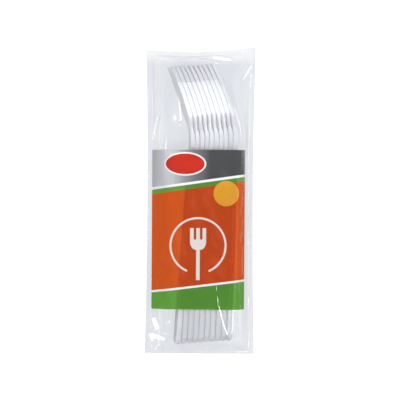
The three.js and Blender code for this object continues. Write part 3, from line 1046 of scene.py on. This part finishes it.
def markOutline(x, y):
    # right side up, over the tines, left side down
    length, stem = mark["length"], mark["stem"]
    tip = y + length / 2
    root = tip - length * mark["tine"]
    shoulder = root - length * mark["tine"] * mark["palm"]
    neck = y + length * mark["neck"]
    pitch = (mark["head"] - stem) / 2
    right = [(stem / 2, y - length / 2)]
    for turn in np.linspace(0, np.pi / 2, mark["steps"]):
        right.append((stem / 2 + pitch * math.sin(turn), shoulder - (shoulder - neck) * math.cos(turn)))
    points = [(x + across, up) for across, up in right]
    for place in (1, 0, -1):
        middle = x + place * pitch
        points += [(middle + stem / 2, tip), (middle - stem / 2, tip)]
        if place >= 0:
            points += [(middle - stem / 2, root), (middle - pitch + stem / 2, root)]
    return points + [(x - across, up) for across, up in right[::-1]]


def layInk(name, node, ink, outline, layer):
    build = bmesh.new()
    face = build.faces.new([build.verts.new((x, y, 0)) for x, y in outline])
    face.normal_update()
    bmesh.ops.triangulate(build, faces=build.faces)
    low = np.min(outline, axis=0)
    high = np.max(outline, axis=0)
    for axis, normal in enumerate(((1, 0, 0), (0, 1, 0))):
        count = max(1, int((high[axis] - low[axis]) / label["cell"]))
        for cut in np.linspace(low[axis], high[axis], count + 1)[1:-1]:
            everything = build.verts[:] + build.edges[:] + build.faces[:]
            place = (cut if axis == 0 else 0, cut if axis == 1 else 0, 0)
            bmesh.ops.bisect_plane(build, geom=everything, plane_co=place, plane_no=normal)
    bmesh.ops.recalc_face_normals(build, faces=build.faces)
    lift = label["lift"] * layer
    for vert in build.verts:
        vert.co = dropOn(filmSurface, vert.co.x, vert.co.y)[0] + Vector((0, 0, lift * mm))
    for face in build.faces:
        face.smooth = True
        if face.normal.z < 0:
            face.normal_flip()
    mesh = bpy.data.meshes.new(name)
    build.to_mesh(mesh)
    build.free()
    mesh.materials.append(inkMaterial(name, ink))
    piece = addObject(name, mesh)
    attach(piece, "root")
    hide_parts(node)
    return len(mesh.polygons)


def makeLabel():
    top = (panelTop, panelTop)
    header = [panelTop - deep for deep in label["header"]]
    white = [edge - label["whiteBand"] for edge in header]
    green = [edge - label["greenBand"] for edge in white]
    footer = [panelBottom + deep for deep in label["footer"]]
    footerLine = [edge - label["footerLine"] for edge in footer]
    bottom = (panelBottom, panelBottom)
    leftRoom, ovalDown = label["ovalRoom"]
    wide, high = label["oval"]
    ovalX, ovalY = panelLeft + leftRoom + wide / 2, panelTop - ovalDown - high / 2
    rim = ovalOutline(ovalX, ovalY, wide, high)
    oval = ovalOutline(ovalX, ovalY, wide - 2 * label["ovalRim"], high - 2 * label["ovalRim"])
    size = label["disc"]
    rightRoom, discDown = label["discRoom"]
    disc = ovalOutline(panelRight - rightRoom - size / 2, panelTop - discDown - size / 2, size, size)
    ringX, ringY = (panelLeft + panelRight) / 2, panelBottom + label["ringRoom"] + label["ring"] / 2
    count = 0
    for name, node, ink, outline, layer in (
        ("inkHeader", "print_header", "grey", slantField(top, header), 1),
        ("inkWhiteBand", "print_band_white", "white", slantField(header, white), 1),
        ("inkGreenBand", "print_band_green", "green", slantField(white, green), 1),
        ("inkPanel", "print_panel", "orange", slantField(green, footer), 1),
        ("inkFooterLine", "print_footer_line", "white", slantField(footer, footerLine), 1),
        ("inkFooter", "print_footer", "green", slantField(footerLine, bottom), 1),
        ("inkOvalRim", "print_oval_rim", "white", rim, 2),
        ("inkOval", "print_oval", "red", oval, 3),
        ("inkDisc", "print_disc", "amber", disc, 2),
        ("inkRing", "print_ring", "cream", ringOutline(ringX, ringY), 2),
        ("inkForkMark", "print_fork_mark", "cream", markOutline(ringX, ringY - mark["drop"]), 2),
    ):
        count += layInk(name, node, ink, outline, layer)
    print("label faces", count)


makeLabel()

# stage

stage = {
    "floorReach": 4.0,
    "floorColor": (0.30, 0.30, 0.30, 1),
    "floorGlow": 0.805,
    "worldColor": (0.94, 0.95, 1.0, 1),
    "worldStrength": 0.66,
    # name, place, aim, size, power, whether the film mirrors it
    "lamps": (
        ("topLamp", (0.05, 0.34, 0.32), (0.0, 0.08, 0.0), (0.30, 0.14), 0.2, False),
        ("footLamp", (0.0, -0.2, 0.4), (0.0, -0.075, 0.01), (0.20, 0.12), 0.18, False),
        ("headSheen", (0.142, -0.103, 1.42), (0, 0.06, 0), (0.20, 0.18), 0.42, True),
    ),
    # small lamps that a fold mirrors: name, number of the fold or stretch of crease, size, power
    "glints": (
        ("cornerGlint", 0, 0.12, 0.4),
        ("topGlint", 1, 0.12, 0.30),
        ("sideGlint", 2, 0.10, 0.35),
        ("footGlint", 3, 0.18, 0.7),
        ("lowGlint", 4, 0.16, 0.6),
        ("creaseGlint", 6, 0.11, 0.35),
        ("kinkGlint", 7, 0.11, 0.35),
        ("endGlint", 8, 0.11, 0.35),
        ("headGlint", 11, 0.11, 0.35),
    ),
    "glintDistance": 0.9,
    "glintSpan": (0.3, 0.7),  # share of the fold that sets the lamp's place
    "glintPoints": 9,
    # a narrow beam on the heads
    "beam": {
        "place": (0.0, -0.10, 0.5),
        "aim": (0.003, 0.045, 0.02),
        "power": 9,
        "angle": 6.2,
        "blend": 0.8,
        "radius": 0.03,
    },
    "distance": 1.5,
    "across": 0.24,
    "sensor": 36,
    "aim": (-0.0001, 0.0002),
    "roll": 0.38,
}


def makeStage():
    mesh = bpy.data.meshes.new("floor")
    reach = stage["floorReach"]
    corners = [(-reach, -reach, 0), (reach, -reach, 0), (reach, reach, 0), (-reach, reach, 0)]
    mesh.from_pydata(corners, [], [(0, 1, 2, 3)])
    floor = addObject("floor", mesh)
    material, nodes, join = newMaterial("paleFloor")
    out = addNode(nodes, "OutputMaterial")
    diffuse = addNode(nodes, "BsdfDiffuse", Color=stage["floorColor"])
    glow = addNode(nodes, "Emission", Strength=stage["floorGlow"])
    path = addNode(nodes, "LightPath")
    seen = path.outputs["Is Camera Ray"]
    for ray in ("Is Glossy Ray", "Is Transmission Ray"):
        either = addNode(nodes, "Math", operation="MAXIMUM")
        join(seen, either.inputs[0])
        join(path.outputs[ray], either.inputs[1])
        seen = either.outputs[0]
    both = addNode(nodes, "AddShader")
    join(diffuse.outputs[0], both.inputs[0])
    join(glow.outputs[0], both.inputs[1])
    mixed = mixShaders(nodes, join, seen, diffuse, both)
    join(mixed.outputs[0], out.inputs["Surface"])
    mesh.materials.append(material)


def placeLamp(data, place, target, mirrored):
    lamp = addObject(data.name, data)
    lamp.location = place
    lamp.rotation_euler = (Vector(target) - Vector(place)).to_track_quat("-Z", "Y").to_euler()
    lamp.visible_camera = False
    lamp.visible_glossy = mirrored


def addLamp(name, place, target, size, power, mirrored):
    data = bpy.data.lights.new(name, "AREA")
    data.shape = "RECTANGLE"
    data.size, data.size_y = size
    data.energy = power
    placeLamp(data, place, target, mirrored)


def addGlint(name, fold, size, power):
    # the lamp stands where the middle of the fold mirrors the camera
    lines = [ends[:4] for ends in film["folds"]] + creaseLines()
    fromX, fromY, toX, toY = lines[fold]
    view = Vector(stage["aim"] + (stage["distance"],))
    middle, facing = Vector(), Vector()
    count = stage["glintPoints"]
    for share in np.linspace(*stage["glintSpan"], count):
        x, y = fromX + (toX - fromX) * share, fromY + (toY - fromY) * share
        hit, normal = dropOn(filmSurface, x, y)
        middle += hit / count
        facing += normal / count
    towards = (middle - view).normalized().reflect(facing.normalized())
    print(name, "stands at", tuple(round(value, 3) for value in towards))
    addLamp(name, middle + towards * stage["glintDistance"], middle, (size, size), power, True)


def addBeam(beam):
    data = bpy.data.lights.new("headBeam", "SPOT")
    data.energy = beam["power"]
    data.spot_size = math.radians(beam["angle"])
    data.spot_blend = beam["blend"]
    data.shadow_soft_size = beam["radius"]
    placeLamp(data, beam["place"], beam["aim"], False)


def makeLight():
    world = bpy.data.worlds.new("studio")
    world.use_nodes = True
    bpy.context.scene.world = world
    sky = world.node_tree.nodes["Background"]
    sky.inputs["Color"].default_value = stage["worldColor"]
    sky.inputs["Strength"].default_value = stage["worldStrength"]
    for lamp in stage["lamps"]:
        addLamp(*lamp)
    for glint in stage["glints"]:
        addGlint(*glint)
    addBeam(stage["beam"])


def makeCamera():
    data = bpy.data.cameras.new("camera")
    data.sensor_width = stage["sensor"]
    data.lens = stage["sensor"] * stage["distance"] / stage["across"]
    camera = addObject("camera", data)
    camera.location = stage["aim"] + (stage["distance"],)
    camera.rotation_euler = (0, 0, math.radians(stage["roll"]))
    bpy.context.scene.camera = camera


makeStage()
makeLight()
makeCamera()
bpy.context.scene.view_settings.view_transform = "Standard"
